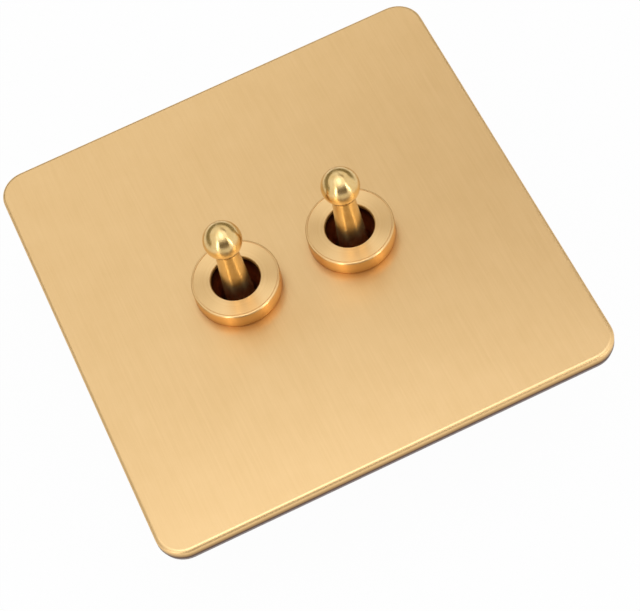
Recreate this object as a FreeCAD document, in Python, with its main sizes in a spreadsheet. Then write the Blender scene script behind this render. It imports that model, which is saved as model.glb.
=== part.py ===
"""Two gang brass dolly switch, drawn piece by piece from one sheet of sizes.

Millimetres and degrees. The origin is the centre of the wall plane, X runs along the
line of the dollies, Y up the wall and Z out of the wall.
"""
import FreeCAD, Part
import Sketcher
import math
import os
from types import SimpleNamespace

# Sizes that drive the part
SIZES = {
    # Front plate and the frame behind it
    "plate_side": 86.0,
    "plate_corner": 5.0,
    "fascia_thick": 2.0,
    "fascia_edge": 0.8,
    "frame_thick": 1.1,
    "frame_inset": 0.25,
    "frame_edge": 0.2,
    "gang_pitch": 22.4,
    # Yoke that is screwed to the wall box
    "yoke_length": 76.0,
    "yoke_width": 40.0,
    "yoke_corner": 2.0,
    "yoke_thick": 1.0,
    "yoke_play": 0.2,
    "yoke_flange": 2.0,
    "yoke_flange_inset": 5.0,
    "fixing_centres": 60.3,
    "fixing_width": 3.8,
    "fixing_length": 7.0,
    "well_dia": 10.5,
    "well_depth": 1.6,
    "earth_across": 28.0,
    "earth_below": 14.0,
    "earth_thread_dia": 3.5,
    "earth_thread_play": 0.02,
    "earth_head_dia": 6.4,
    "earth_head_height": 2.2,
    "earth_head_edge": 0.5,
    "earth_washer_side": 7.0,
    "earth_washer_thick": 0.8,
    "earth_end_gap": 0.05,
    "earth_slot_width": 1.0,
    "earth_slot_depth": 1.0,
    # Collar, bush and the nut behind the yoke
    "collar_dia": 16.0,
    "collar_height": 3.3,
    "collar_lip": 0.9,
    "collar_edge": 0.28,
    "collar_foot": 0.2,
    "collar_groove_dia": 15.2,
    "collar_groove_width": 0.16,
    "collar_groove_depth": 0.15,
    "throat_dia": 9.0,
    "throat_edge": 0.15,
    "throat_depth": 2.4,
    "throat_slope": 3.3,
    "socket_dia": 7.0,
    "thread_dia": 12.0,
    "thread_play": 0.05,
    "thread_run": 1.5,
    "bush_top_gap": 0.1,
    "bush_hole_play": 0.15,
    "spigot_dia": 9.6,
    "spigot_play": 0.05,
    "swage_dia": 10.6,
    "swage_thick": 0.4,
    "nut_across_flats": 14.0,
    "nut_thick": 2.1,
    "nut_bevel_inset": 0.3,
    "nut_bevel_angle": 30.0,
    "washer_dia": 15.5,
    "washer_thick": 0.5,
    "washer_notch_width": 1.1,
    "washer_notch_depth": 0.7,
    # Dolly and the pin it turns on
    "ball_dia": 6.9,
    "ball_height": 13.0,
    "neck_dia": 3.6,
    "neck_drop": 3.35,
    "shaft_top_dia": 4.1,
    "shaft_root_dia": 5.75,
    "pivot_height": 2.0,
    "pivot_ball_dia": 6.6,
    "pin_dia": 1.6,
    "pin_length": 11.2,
    "pin_press_play": 0.02,
    "pin_turn_play": 0.05,
    "stem_dia": 4.4,
    "stem_length": 8.0,
    "spring_bore_dia": 3.0,
    "spring_bore_depth": 5.6,
    # Spring and plunger inside the dolly
    "spring_dia": 2.7,
    "spring_wire_dia": 0.35,
    "spring_turns": 5.0,
    "spring_end_gap": 0.05,
    "plunger_play": 0.1,
    "plunger_guide": 1.6,
    "plunger_reach": 0.8,
    # Rocker and contacts
    "rocker_gap": 0.15,
    "rocker_reach": 10.5,
    "rocker_width": 6.0,
    "rocker_thick": 0.8,
    "rocker_rise_angle": 10.0,
    "rocker_swing_angle": 8.0,
    "trunnion_dia": 1.0,
    "trunnion_span": 9.8,
    "trunnion_play": 0.05,
    "contact_dia": 2.6,
    "contact_thick": 0.6,
    "contact_edge": 0.2,
    "contact_offset": 9.0,
    "contact_gap": 0.08,
    # Terminals
    "strap_thick": 1.0,
    "strap_bend": 0.8,
    "strap_width": 6.0,
    "strap_play": 0.1,
    "cheek_span": 7.2,
    "cheek_above": 0.5,
    "end_strap_reach": 13.0,
    "end_tab_length": 5.5,
    "end_foot_length": 6.7,
    "end_screw_offset": 9.5,
    "screw_dia": 3.0,
    "screw_play": 0.02,
    "screw_head_dia": 5.4,
    "screw_head_height": 2.1,
    "screw_head_edge": 0.4,
    "screw_slot_width": 0.8,
    "screw_slot_depth": 0.9,
    "screw_end_length": 1.6,
    "clamp_side": 6.4,
    "clamp_thick": 0.8,
    "clamp_play": 0.2,
    # Housing and its folded cover
    "housing_width": 18.0,
    "housing_length": 33.0,
    "housing_height": 16.2,
    "housing_corner": 1.2,
    "housing_side_wall": 1.6,
    "housing_end_wall": 1.7,
    "housing_floor": 3.0,
    "housing_skirt": 4.5,
    "skirt_thick": 1.5,
    "barrier_offset": 5.2,
    "barrier_thick": 1.2,
    "rib_width": 1.4,
    "rib_proud": 0.7,
    "rib_pitch": 10.0,
    "rib_short": 1.5,
    "pocket_dia": 4.2,
    "pocket_depth": 2.0,
    "cover_thick": 0.8,
    "cover_bend": 0.7,
    "cover_play": 0.05,
    "cover_leg_width": 9.0,
    "cover_leg_drop": 12.8,
    "cover_hook": 1.2,
    "hook_play": 0.15,
}

GANGS = (("left", -0.5), ("right", 0.5))
WASHER_NOTCHES = 8
# The spring's round wire is drawn with flats, which keeps its mesh light
WIRE_FACET_COUNT = 8
HALF_TURN = 180


class Size:
    """A number together with the sheet expression that gives it."""

    def __init__(self, number, text):
        self.number = number
        self.text = text

    def __add__(self, other):
        other = as_size(other)
        return Size(self.number + other.number, f"({self.text} + {other.text})")

    def __sub__(self, other):
        other = as_size(other)
        return Size(self.number - other.number, f"({self.text} - {other.text})")

    def __mul__(self, other):
        other = as_size(other)
        return Size(self.number * other.number, f"({self.text} * {other.text})")

    def __truediv__(self, other):
        other = as_size(other)
        return Size(self.number / other.number, f"({self.text} / {other.text})")

    def __neg__(self):
        return Size(-self.number, f"(0 - {self.text})")

    __radd__ = __add__
    __rmul__ = __mul__


def as_size(value):
    """Take a plain number or a Size and give a Size."""
    if isinstance(value, Size):
        return value
    return Size(float(value), f"({float(value)})")


def sin_of(angle):
    return Size(math.sin(math.radians(angle.number)), f"sin({angle.text})")


def cos_of(angle):
    return Size(math.cos(math.radians(angle.number)), f"cos({angle.text})")


def tan_of(angle):
    return Size(math.tan(math.radians(angle.number)), f"tan({angle.text})")


# Document and sheet
doc = FreeCAD.newDocument("dolly_switch")
sheet = doc.addObject("Spreadsheet::Sheet", "sizes")
for row, (name, value) in enumerate(SIZES.items(), start=1):
    sheet.set(f"A{row}", name)
    sheet.set(f"B{row}", str(value))
    sheet.setAlias(f"B{row}", name)
doc.recompute()
s = SimpleNamespace(**{name: Size(value, f"sizes.{name}") for name, value in SIZES.items()})
pieces = []

# Levels along Z, from the front to the back
frame_top = s.frame_thick
fascia_top = frame_top + s.fascia_thick
collar_top = fascia_top + s.collar_height
bush_top = collar_top - s.collar_lip - s.bush_top_gap
throat_floor = collar_top - s.throat_depth
yoke_back = frame_top - s.yoke_thick
washer_back = yoke_back - s.washer_thick
nut_back = washer_back - s.nut_thick
cover_top = nut_back - s.thread_run
cover_back = cover_top - s.cover_thick
swage_back = cover_back - s.swage_thick
housing_back = cover_back - s.housing_height
floor_top = housing_back + s.housing_floor
foot_back = housing_back - s.strap_thick
clamp_back = foot_back - s.clamp_thick

# Levels of the moving pieces
ball_level = collar_top + s.ball_height
shaft_top = ball_level - s.neck_drop
pivot_level = cover_top + s.pivot_height
stem_end = pivot_level - s.stem_length
bore_end = stem_end + s.spring_bore_depth
plunger_radius = s.spring_bore_dia / 2 - s.plunger_play
plunger_top = stem_end + s.plunger_guide
nose_level = stem_end - s.plunger_reach
rocker_top = nose_level - plunger_radius - s.rocker_gap
rocker_level = rocker_top - s.rocker_thick / 2

# Underside of the rocker wings and the contacts that meet below them
wing_slope = tan_of(s.rocker_rise_angle)
wing_depth = s.rocker_thick / cos_of(s.rocker_rise_angle)
wing_under = rocker_top - wing_depth + s.contact_offset * wing_slope
contact_lean = s.contact_thick * sin_of(s.rocker_rise_angle)
contact_drop = s.contact_thick * cos_of(s.rocker_rise_angle)
face_out = s.contact_offset + contact_lean
face_up = wing_under - contact_drop - rocker_level
fixed_offset = face_out * cos_of(s.rocker_swing_angle) + face_up * sin_of(s.rocker_swing_angle)
closed_level = rocker_level - face_out * sin_of(s.rocker_swing_angle) + face_up * cos_of(s.rocker_swing_angle)
tilt_room = s.contact_dia / 2 * sin_of(s.rocker_rise_angle - s.rocker_swing_angle)
fixed_top = closed_level - tilt_room - s.contact_gap
tab_top = fixed_top - s.contact_thick


# Drawing helpers
def origin_plane(body, role):
    return next(item for item in body.Origin.OriginFeatures if item.Role == role)


def new_body(name):
    body = doc.addObject("PartDesign::Body", name)
    body.Label = name
    return body


def new_sketch(body, role, level=None):
    sketch = body.newObject("Sketcher::SketchObject", f"{body.Name}_sketch")
    sketch.AttachmentSupport = [(origin_plane(body, role), "")]
    sketch.MapMode = "FlatFace"
    if level is not None:
        sketch.setExpression("AttachmentOffset.Base.z", level.text)
    return sketch


def hold(sketch, kind, size, *where):
    """Add one driving constraint that follows the sheet."""
    size = as_size(size)
    index = sketch.addConstraint(Sketcher.Constraint(kind, *where, size.number))
    sketch.setExpression(f"Constraints[{index}]", size.text)


def draw_polygon(sketch, corners):
    """Closed outline with every corner held from the sketch origin."""
    first = sketch.GeometryCount
    count = len(corners)
    corners = [(as_size(across), as_size(up)) for across, up in corners]
    points = [FreeCAD.Vector(across.number, up.number, 0) for across, up in corners]
    for index in range(count):
        sketch.addGeometry(Part.LineSegment(points[index], points[(index + 1) % count]), False)
    for index in range(count):
        after = first + (index + 1) % count
        sketch.addConstraint(Sketcher.Constraint("Coincident", first + index, 2, after, 1))
    for index, (across, up) in enumerate(corners):
        hold(sketch, "DistanceX", across, -1, 1, first + index, 1)
        hold(sketch, "DistanceY", up, -1, 1, first + index, 1)


def draw_rectangle(sketch, left, low, right, high):
    draw_polygon(sketch, [(left, low), (right, low), (right, high), (left, high)])


def draw_circle(sketch, across, up, radius):
    across, up, radius = as_size(across), as_size(up), as_size(radius)
    centre = FreeCAD.Vector(across.number, up.number, 0)
    index = sketch.addGeometry(Part.Circle(centre, FreeCAD.Vector(0, 0, 1), radius.number), False)
    hold(sketch, "DistanceX", across, -1, 1, index, 3)
    hold(sketch, "DistanceY", up, -1, 1, index, 3)
    hold(sketch, "Radius", radius, index)


def pad(body, sketch, length, back=False, both=False):
    feature = body.newObject("PartDesign::Pad", f"{body.Name}_pad")
    feature.Profile = sketch
    feature.setExpression("Length", as_size(length).text)
    feature.Reversed = back
    if both:
        feature.SideType = "Symmetric"
    doc.recompute()
    return feature


def pocket(body, sketch, depth=None, back=False, both=False):
    feature = body.newObject("PartDesign::Pocket", f"{body.Name}_pocket")
    feature.Profile = sketch
    feature.Reversed = back
    if depth is None:
        feature.Type = "ThroughAll"
    else:
        feature.setExpression("Length", as_size(depth).text)
    if both:
        feature.SideType = "Symmetric"
    doc.recompute()
    return feature


def revolve(body, sketch):
    feature = body.newObject("PartDesign::Revolution", f"{body.Name}_revolve")
    feature.Profile = sketch
    feature.ReferenceAxis = (sketch, ["V_Axis"])
    feature.Angle = 360
    doc.recompute()
    return feature


def turn_off(body, sketch):
    """Cut a ring away, as on a lathe."""
    feature = body.newObject("PartDesign::Groove", f"{body.Name}_turned")
    feature.Profile = sketch
    feature.ReferenceAxis = (sketch, ["V_Axis"])
    feature.Angle = 360
    doc.recompute()
    return feature


def dress(body, kind, wanted, size):
    """Round or chamfer the edges of the tip that the test picks."""
    base = body.Tip
    names = [f"Edge{index}" for index, edge in enumerate(base.Shape.Edges, start=1) if wanted(edge)]
    assert names, f"no edge found on {body.Name}"
    feature = body.newObject(f"PartDesign::{kind}", f"{body.Name}_{kind.lower()}")
    feature.Base = (base, names)
    feature.setExpression("Radius" if kind == "Fillet" else "Size", size.text)
    doc.recompute()
    return feature


def near(first, second, tolerance=1e-4):
    return abs(first - as_size(second).number) < tolerance


def upright_at(half_across, half_up):
    """Test for straight edges along Z at the four corners of a rectangle."""
    def wanted(edge):
        box = edge.BoundBox
        straight = box.XLength < 1e-6 and box.YLength < 1e-6
        return straight and near(abs(box.XMin), half_across) and near(abs(box.YMin), half_up)
    return wanted


def level_edge_outside(level, half_across, half_up):
    """Test for edges that lie flat at a level and belong to an outer outline."""
    def wanted(edge):
        box = edge.BoundBox
        flat = near(box.ZMin, level) and near(box.ZMax, level)
        middle = edge.CenterOfMass
        wide = abs(middle.x) > as_size(half_across).number or abs(middle.y) > as_size(half_up).number
        return flat and wide
    return wanted


def ring_edge(radius, level):
    """Test for a full round edge about Z."""
    def wanted(edge):
        box = edge.BoundBox
        flat = near(box.ZMin, level) and near(box.ZMax, level)
        return flat and isinstance(edge.Curve, Part.Circle) and near(edge.Curve.Radius, radius)
    return wanted


def fold_edge(along, offset, level):
    """Test for straight edges along X or Y, at an offset to either side and at a level."""
    def wanted(edge):
        box = edge.BoundBox
        place, span = (box.YMin, box.YLength) if along == "X" else (box.XMin, box.XLength)
        straight = span < 1e-6 and box.ZLength < 1e-6
        return straight and near(abs(place), offset) and near(box.ZMin, level)
    return wanted


def new_box(left, low, back, right, high, front):
    """Box between two opposite corners."""
    left, low, back = as_size(left), as_size(low), as_size(back)
    thing = doc.addObject("Part::Box", "box")
    thing.setExpression("Length", (as_size(right) - left).text)
    thing.setExpression("Width", (as_size(high) - low).text)
    thing.setExpression("Height", (as_size(front) - back).text)
    return move(thing, left, low, back)


def new_cylinder(radius, back, front, across=0, up=0):
    """Cylinder along Z between two levels."""
    back = as_size(back)
    thing = doc.addObject("Part::Cylinder", "cylinder")
    thing.setExpression("Radius", as_size(radius).text)
    thing.setExpression("Height", (as_size(front) - back).text)
    return move(thing, across, up, back)


def new_cross_cylinder(radius, length, level):
    """Cylinder along X, centred on the gang, at a level."""
    thing = doc.addObject("Part::Cylinder", "cylinder")
    thing.setExpression("Radius", as_size(radius).text)
    thing.setExpression("Height", as_size(length).text)
    thing.Placement.Rotation = FreeCAD.Rotation(FreeCAD.Vector(0, 1, 0), 90)
    return move(thing, -(as_size(length) / 2), 0, level)


def new_sphere(radius, level):
    thing = doc.addObject("Part::Sphere", "sphere")
    thing.setExpression("Radius", as_size(radius).text)
    return move(thing, 0, 0, level)


def new_cone(radius_back, radius_front, back, front, across=0, up=0):
    thing = doc.addObject("Part::Cone", "cone")
    thing.setExpression("Radius1", as_size(radius_back).text)
    thing.setExpression("Radius2", as_size(radius_front).text)
    thing.setExpression("Height", (as_size(front) - as_size(back)).text)
    return move(thing, across, up, back)


def move(thing, across, up, level):
    for axis, size in zip("xyz", (across, up, level)):
        thing.setExpression(f"Placement.Base.{axis}", as_size(size).text)
    return thing


def join(*things):
    fused = doc.addObject("Part::MultiFuse", "joined")
    fused.Shapes = list(things)
    return fused


def cut(base, *tools):
    result = doc.addObject("Part::Cut", "cut")
    result.Base = base
    result.Tool = tools[0] if len(tools) == 1 else join(*tools)
    return result


def group(*things):
    compound = doc.addObject("Part::Compound", "group")
    compound.Links = list(things)
    return compound


def keep(thing, name, across=0):
    """Name a finished piece and put it in its place along X."""
    thing.Label = name
    thing.setExpression("Placement.Base.x", as_size(across).text)
    pieces.append(thing)


def new_screw(radius, edge, shank_radius, back, seat, end, across, up):
    """Cheese head with its rim turned off, seated at a level, on a plain shank."""
    rim = new_cone(radius - edge, radius, back, back + edge, across, up)
    drum = new_cylinder(radius, back + edge, seat, across, up)
    shank = new_cylinder(shank_radius, back, end, across, up)
    return join(rim, drum, shank)


# Front plate, frame and yoke
def fascia_plate():
    half = s.plate_side / 2
    body = new_body("fascia_plate")
    outline = new_sketch(body, "XY_Plane", frame_top)
    draw_rectangle(outline, -half, -half, half, half)
    pad(body, outline, s.fascia_thick)
    dress(body, "Fillet", upright_at(half, half), s.plate_corner)
    dress(body, "Fillet", level_edge_outside(fascia_top, s.gang_pitch, s.gang_pitch), s.fascia_edge)
    holes = new_sketch(body, "XY_Plane", fascia_top)
    for _, turn in GANGS:
        draw_circle(holes, s.gang_pitch * turn, 0, s.thread_dia / 2 + s.bush_hole_play)
    pocket(body, holes)
    keep(body, "fascia_plate")


def backing_frame():
    half = s.plate_side / 2 - s.frame_inset
    half_across = s.yoke_length / 2 + s.yoke_play
    half_up = s.yoke_width / 2 + s.yoke_play
    body = new_body("backing_frame")
    outline = new_sketch(body, "XY_Plane")
    draw_rectangle(outline, -half, -half, half, half)
    pad(body, outline, s.frame_thick)
    dress(body, "Fillet", upright_at(half, half), s.plate_corner - s.frame_inset)
    dress(body, "Chamfer", level_edge_outside(frame_top, s.gang_pitch, s.gang_pitch), s.frame_edge)
    window = new_sketch(body, "XY_Plane", frame_top)
    draw_rectangle(window, -half_across, -half_up, half_across, half_up)
    pocket(body, window)
    dress(body, "Fillet", upright_at(half_across, half_up), s.yoke_corner + s.yoke_play)
    keep(body, "backing_frame")


def mounting_yoke():
    half_across = s.yoke_length / 2
    half_up = s.yoke_width / 2
    body = new_body("mounting_yoke")
    outline = new_sketch(body, "XY_Plane", yoke_back)
    draw_rectangle(outline, -half_across, -half_up, half_across, half_up)
    pad(body, outline, s.yoke_thick)
    dress(body, "Fillet", upright_at(half_across, half_up), s.yoke_corner)
    flanges = new_sketch(body, "XY_Plane", yoke_back)
    flange_end = half_across - s.yoke_flange_inset
    draw_rectangle(flanges, -flange_end, half_up - s.yoke_thick, flange_end, half_up)
    draw_rectangle(flanges, -flange_end, -half_up, flange_end, s.yoke_thick - half_up)
    pad(body, flanges, s.yoke_flange, back=True)
    wells = new_sketch(body, "XY_Plane", yoke_back)
    for _, turn in GANGS:
        draw_circle(wells, s.fixing_centres * turn, 0, s.well_dia / 2 + s.yoke_thick)
    pad(body, wells, s.well_depth, back=True)
    hollows = new_sketch(body, "XY_Plane", frame_top)
    for _, turn in GANGS:
        draw_circle(hollows, s.fixing_centres * turn, 0, s.well_dia / 2)
    pocket(body, hollows, s.well_depth)
    flats = new_sketch(body, "XY_Plane", frame_top)
    ends = new_sketch(body, "XY_Plane", frame_top)
    half_run = (s.fixing_length - s.fixing_width) / 2
    half_slot = s.fixing_width / 2
    for _, turn in GANGS:
        middle = s.fixing_centres * turn
        draw_rectangle(flats, middle - half_run, -half_slot, middle + half_run, half_slot)
        draw_circle(ends, middle - half_run, 0, half_slot)
    pocket(body, flats)
    pocket(body, ends)
    far_ends = new_sketch(body, "XY_Plane", frame_top)
    for _, turn in GANGS:
        draw_circle(far_ends, s.fixing_centres * turn + half_run, 0, half_slot)
    pocket(body, far_ends)
    holes = new_sketch(body, "XY_Plane", frame_top)
    for _, turn in GANGS:
        draw_circle(holes, s.gang_pitch * turn, 0, s.thread_dia / 2 + s.bush_hole_play)
    draw_circle(holes, -s.earth_across, -s.earth_below, s.earth_thread_dia / 2 + s.earth_thread_play)
    pocket(body, holes)
    keep(body, "mounting_yoke")


def earth_screw():
    washer_level = yoke_back - s.earth_washer_thick
    head_back = washer_level - s.earth_head_height
    across, up = -s.earth_across, -s.earth_below
    half_slot = s.earth_slot_width / 2
    head_radius = s.earth_head_dia / 2
    screw = new_screw(head_radius, s.earth_head_edge, s.earth_thread_dia / 2,
                      head_back, washer_level, frame_top - s.earth_end_gap, across, up)
    slot = new_box(across - head_radius, up - half_slot, head_back,
                   across + head_radius, up + half_slot, head_back + s.earth_slot_depth)
    keep(cut(screw, slot), "earth_screw")


def earth_washer():
    washer_level = yoke_back - s.earth_washer_thick
    across, up = -s.earth_across, -s.earth_below
    half = s.earth_washer_side / 2
    square = new_box(across - half, up - half, washer_level, across + half, up + half, yoke_back)
    hole = new_cylinder(s.earth_thread_dia / 2 + s.clamp_play, washer_level, yoke_back, across, up)
    keep(cut(square, hole), "earth_washer")


# Pieces on each dolly's centre line
def collar_nut(side, across):
    radius = s.collar_dia / 2
    bore = s.thread_dia / 2 + s.thread_play
    throat = s.throat_dia / 2
    lip_back = collar_top - s.collar_lip
    groove_out = s.collar_groove_dia / 2 + s.collar_groove_width / 2
    groove_in = s.collar_groove_dia / 2 - s.collar_groove_width / 2
    groove_floor = collar_top - s.collar_groove_depth
    body = new_body(f"collar_nut_{side}")
    outline = new_sketch(body, "XZ_Plane")
    draw_polygon(outline, [
        (bore, fascia_top), (radius, fascia_top), (radius, collar_top),
        (groove_out, collar_top), (groove_out, groove_floor),
        (groove_in, groove_floor), (groove_in, collar_top),
        (throat, collar_top), (throat, lip_back), (bore, lip_back)])
    revolve(body, outline)
    dress(body, "Fillet", ring_edge(radius, collar_top), s.collar_edge)
    dress(body, "Fillet", ring_edge(radius, fascia_top), s.collar_foot)
    dress(body, "Chamfer", ring_edge(throat, collar_top), s.throat_edge)
    keep(body, body.Label, across)


def bush(side, across):
    thread = s.thread_dia / 2
    throat = s.throat_dia / 2
    socket = s.socket_dia / 2
    body = new_body(f"bush_{side}")
    outline = new_sketch(body, "XZ_Plane")
    draw_polygon(outline, [
        (socket, swage_back), (s.swage_dia / 2, swage_back), (s.swage_dia / 2, cover_back),
        (s.spigot_dia / 2, cover_back), (s.spigot_dia / 2, cover_top), (thread, cover_top),
        (thread, bush_top), (throat, bush_top), (throat, throat_floor),
        (socket, throat_floor - s.throat_slope)])
    revolve(body, outline)
    cross = new_sketch(body, "YZ_Plane")
    draw_circle(cross, 0, pivot_level, s.pin_dia / 2 + s.pin_press_play)
    pocket(body, cross, s.collar_dia, both=True)
    keep(body, body.Label, across)


def lock_washer(side, across):
    inner = s.thread_dia / 2 + s.bush_hole_play
    body = new_body(f"lock_washer_{side}")
    ring = new_sketch(body, "XY_Plane", washer_back)
    draw_circle(ring, 0, 0, s.washer_dia / 2)
    draw_circle(ring, 0, 0, inner)
    pad(body, ring, s.washer_thick)
    notch = new_sketch(body, "XY_Plane", yoke_back)
    half = s.washer_notch_width / 2
    draw_rectangle(notch, inner - half, -half, inner + s.washer_notch_depth, half)
    first = pocket(body, notch)
    pattern = body.newObject("PartDesign::PolarPattern", f"{body.Name}_pattern")
    pattern.Originals = [first]
    pattern.Axis = (ring, ["N_Axis"])
    pattern.Angle = 360
    pattern.Occurrences = WASHER_NOTCHES
    body.Tip = pattern
    doc.recompute()
    keep(body, body.Label, across)


def back_nut(side, across):
    half_flat = s.nut_across_flats / 2
    corner = s.nut_across_flats / math.sqrt(3)
    body = new_body(f"back_nut_{side}")
    outline = new_sketch(body, "XY_Plane", nut_back)
    draw_polygon(outline, [
        (corner, 0), (corner / 2, half_flat), (-(corner / 2), half_flat),
        (-corner, 0), (-(corner / 2), -half_flat), (corner / 2, -half_flat)])
    draw_circle(outline, 0, 0, s.thread_dia / 2 + s.thread_play)
    pad(body, outline, s.nut_thick)
    bevel_in = half_flat - s.nut_bevel_inset
    bevel_out = corner + s.nut_bevel_inset
    bevel_rise = (bevel_out - bevel_in) * tan_of(s.nut_bevel_angle)
    bevel = new_sketch(body, "XZ_Plane")
    draw_polygon(bevel, [(bevel_in, nut_back), (bevel_out, nut_back), (bevel_out, nut_back + bevel_rise)])
    turn_off(body, bevel)
    keep(body, body.Label, across)


def dolly(side, across):
    knob = new_sphere(s.ball_dia / 2, ball_level)
    neck = new_cylinder(s.neck_dia / 2, shaft_top, ball_level)
    shaft = new_cone(s.shaft_root_dia / 2, s.shaft_top_dia / 2, pivot_level, shaft_top)
    pivot_ball = new_sphere(s.pivot_ball_dia / 2, pivot_level)
    stem = new_cylinder(s.stem_dia / 2, stem_end, pivot_level)
    pin_hole = new_cross_cylinder(s.pin_dia / 2 + s.pin_turn_play, s.collar_dia, pivot_level)
    spring_bore = new_cylinder(s.spring_bore_dia / 2, stem_end, bore_end)
    keep(cut(join(knob, neck, shaft, pivot_ball, stem), pin_hole, spring_bore), f"dolly_{side}", across)


def pivot_pin(side, across):
    pin = new_cross_cylinder(s.pin_dia / 2, s.pin_length, pivot_level)
    keep(group(pin), f"pivot_pin_{side}", across)


def plunger_spring(side, across):
    wire = s.spring_wire_dia / 2
    coil = s.spring_dia / 2 - wire
    low = plunger_top + s.spring_end_gap + wire
    high = bore_end - s.spring_end_gap - wire
    helix = doc.addObject("Part::Helix", "helix")
    helix.setExpression("Radius", coil.text)
    helix.setExpression("Height", (high - low).text)
    helix.setExpression("Pitch", ((high - low) / s.spring_turns).text)
    move(helix, 0, 0, low)
    section = doc.addObject("Part::RegularPolygon", "section")
    section.Polygon = WIRE_FACET_COUNT
    section.setExpression("Circumradius", wire.text)
    section.Placement.Rotation = FreeCAD.Rotation(FreeCAD.Vector(1, 0, 0), 90)
    move(section, coil, 0, low)
    doc.recompute()
    sweep = doc.addObject("Part::Sweep", "coil")
    sweep.Sections = [section]
    sweep.Spine = (helix, [f"Edge{index}" for index in range(1, len(helix.Shape.Edges) + 1)])
    sweep.Solid = True
    sweep.Frenet = True
    keep(sweep, f"plunger_spring_{side}", across)


def plunger(side, across):
    barrel = new_cylinder(plunger_radius, nose_level, plunger_top)
    nose = new_sphere(plunger_radius, nose_level)
    keep(join(barrel, nose), f"plunger_{side}", across)


def contact_rocker(side, across):
    reach = s.rocker_reach
    rise = reach * wing_slope
    body = new_body(f"contact_rocker_{side}")
    outline = new_sketch(body, "YZ_Plane")
    draw_polygon(outline, [
        (0, rocker_top), (reach, rocker_top + rise), (reach, rocker_top + rise - wing_depth),
        (0, rocker_top - wing_depth),
        (-reach, rocker_top + rise - wing_depth), (-reach, rocker_top + rise)])
    pad(body, outline, s.rocker_width, both=True)
    axle = new_sketch(body, "YZ_Plane")
    draw_circle(axle, 0, rocker_level, s.trunnion_dia / 2)
    pad(body, axle, s.trunnion_span, both=True)
    keep(body, body.Label, across)


def new_rivet(back, up=0):
    """Contact rivet along Z, with the rim of its face bevelled."""
    radius = s.contact_dia / 2
    face = as_size(back) + s.contact_thick
    drum = new_cylinder(radius, back, face - s.contact_edge, 0, up)
    rim = new_cone(radius, radius - s.contact_edge, face - s.contact_edge, face, 0, up)
    return join(drum, rim)


def moving_contacts(side, across):
    rivets = []
    for turn in (-1, 1):
        rivet = new_rivet(0)
        angle = as_size(HALF_TURN) + s.rocker_rise_angle * turn
        rivet.Placement.Rotation = FreeCAD.Rotation(FreeCAD.Vector(1, 0, 0), HALF_TURN)
        rivet.setExpression("Placement.Rotation.Angle", angle.text)
        rivets.append(move(rivet, 0, s.contact_offset * turn, wing_under))
    keep(group(*rivets), f"moving_contacts_{side}", across)


def fixed_contacts(side, across):
    rivets = [new_rivet(tab_top, fixed_offset * turn) for turn in (-1, 1)]
    keep(group(*rivets), f"fixed_contacts_{side}", across)


# Terminals
def terminal_common(side, across):
    inner = s.cheek_span / 2
    outer = inner + s.strap_thick
    cheek_top = rocker_level + s.cheek_above
    notch = s.trunnion_dia / 2 + s.trunnion_play
    body = new_body(f"terminal_common_{side}")
    outline = new_sketch(body, "XZ_Plane")
    draw_polygon(outline, [
        (-outer, cheek_top), (-outer, foot_back), (outer, foot_back), (outer, cheek_top),
        (inner, cheek_top), (inner, housing_back), (-inner, housing_back), (-inner, cheek_top)])
    pad(body, outline, s.strap_width, both=True)
    dress(body, "Fillet", fold_edge("Y", outer, foot_back), s.strap_bend)
    seat = new_sketch(body, "YZ_Plane")
    draw_circle(seat, 0, rocker_level, notch)
    pocket(body, seat, s.housing_width, both=True)
    mouth = new_sketch(body, "YZ_Plane")
    draw_rectangle(mouth, -notch, rocker_level, notch, cheek_top + s.cheek_above)
    pocket(body, mouth, s.housing_width, both=True)
    hole = new_sketch(body, "XY_Plane", housing_back)
    draw_circle(hole, 0, 0, s.screw_dia / 2 + s.screw_play)
    pocket(body, hole, s.strap_thick)
    keep(body, body.Label, across)


def terminal_end(side, across, name, turn):
    out = s.end_strap_reach * turn
    leg_in = (s.end_strap_reach - s.strap_thick) * turn
    tab_in = (s.end_strap_reach - s.end_tab_length) * turn
    foot_in = (s.end_strap_reach - s.end_foot_length) * turn
    body = new_body(f"terminal_{name}_{side}")
    outline = new_sketch(body, "YZ_Plane")
    draw_polygon(outline, [
        (tab_in, tab_top), (out, tab_top), (out, foot_back), (foot_in, foot_back),
        (foot_in, housing_back), (leg_in, housing_back),
        (leg_in, tab_top - s.strap_thick), (tab_in, tab_top - s.strap_thick)])
    pad(body, outline, s.strap_width, both=True)
    dress(body, "Fillet", fold_edge("X", s.end_strap_reach, tab_top), s.strap_bend)
    dress(body, "Fillet", fold_edge("X", s.end_strap_reach, foot_back), s.strap_bend)
    hole = new_sketch(body, "XY_Plane", housing_back)
    draw_circle(hole, 0, s.end_screw_offset * turn, s.screw_dia / 2 + s.screw_play)
    pocket(body, hole, s.strap_thick)
    keep(body, body.Label, across)


def terminal_screws(side, across):
    head_back = clamp_back - s.screw_head_height
    head_radius = s.screw_head_dia / 2
    half_slot = s.screw_slot_width / 2
    screws = []
    for turn in (-1, 0, 1):
        up = s.end_screw_offset * turn
        screw = new_screw(head_radius, s.screw_head_edge, s.screw_dia / 2,
                          head_back, clamp_back, housing_back + s.screw_end_length, 0, up)
        slot = new_box(-head_radius, up - half_slot, head_back,
                       head_radius, up + half_slot, head_back + s.screw_slot_depth)
        screws.append(cut(screw, slot))
    keep(group(*screws), f"terminal_screws_{side}", across)


def terminal_washers(side, across):
    half = s.clamp_side / 2
    washers = []
    for turn in (-1, 0, 1):
        up = s.end_screw_offset * turn
        square = new_box(-half, up - half, clamp_back, half, up + half, foot_back)
        hole = new_cylinder(s.screw_dia / 2 + s.clamp_play, clamp_back, foot_back, 0, up)
        washers.append(cut(square, hole))
    keep(group(*washers), f"terminal_washers_{side}", across)


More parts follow.
